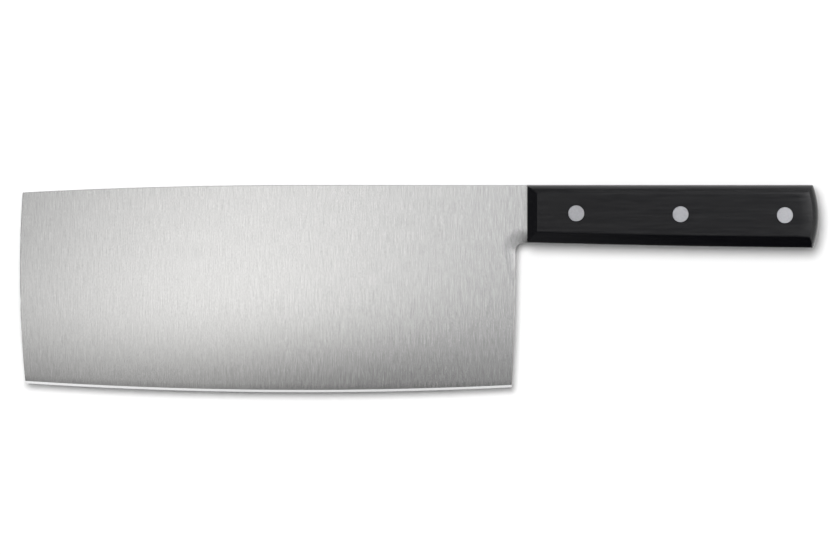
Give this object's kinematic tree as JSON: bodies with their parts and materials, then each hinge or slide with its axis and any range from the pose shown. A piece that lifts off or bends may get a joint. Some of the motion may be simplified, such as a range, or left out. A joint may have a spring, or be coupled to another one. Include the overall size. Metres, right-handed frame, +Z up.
{
  "type": "chinese cleaver",
  "caption": "Full-tang chinese cleaver: a broad, thin ground steel blade with a gently curved edge, and bevelled black plastic scales held to the tang by flush rivets.",
  "frame": {"origin": "on the table under the middle of the bounding box, with the knife lying on its right side and its blade level", "axes": "+X along the knife from the nose to the butt, +Y from the edge to the spine, +Z up, out of the left side of the blade"},
  "size_m": [0.2954, 0.0767, 0.017],
  "materials": {
    "blade_steel": "satin, ground across the blade from spine to edge",
    "scale_plastic": "fine satin, rubbed along the handle",
    "rivet_metal": "matt, ground flush with the scales"
  },
  "bodies": {
    "root": {"blade": "blade_steel", "left_scale": "scale_plastic", "right_scale": "scale_plastic", "neck_rivet_sleeve": "rivet_metal", "neck_rivet_pin": "rivet_metal", "middle_rivet_sleeve": "rivet_metal", "middle_rivet_pin": "rivet_metal", "butt_rivet_sleeve": "rivet_metal", "butt_rivet_pin": "rivet_metal"}
  },
  "joints": []
}
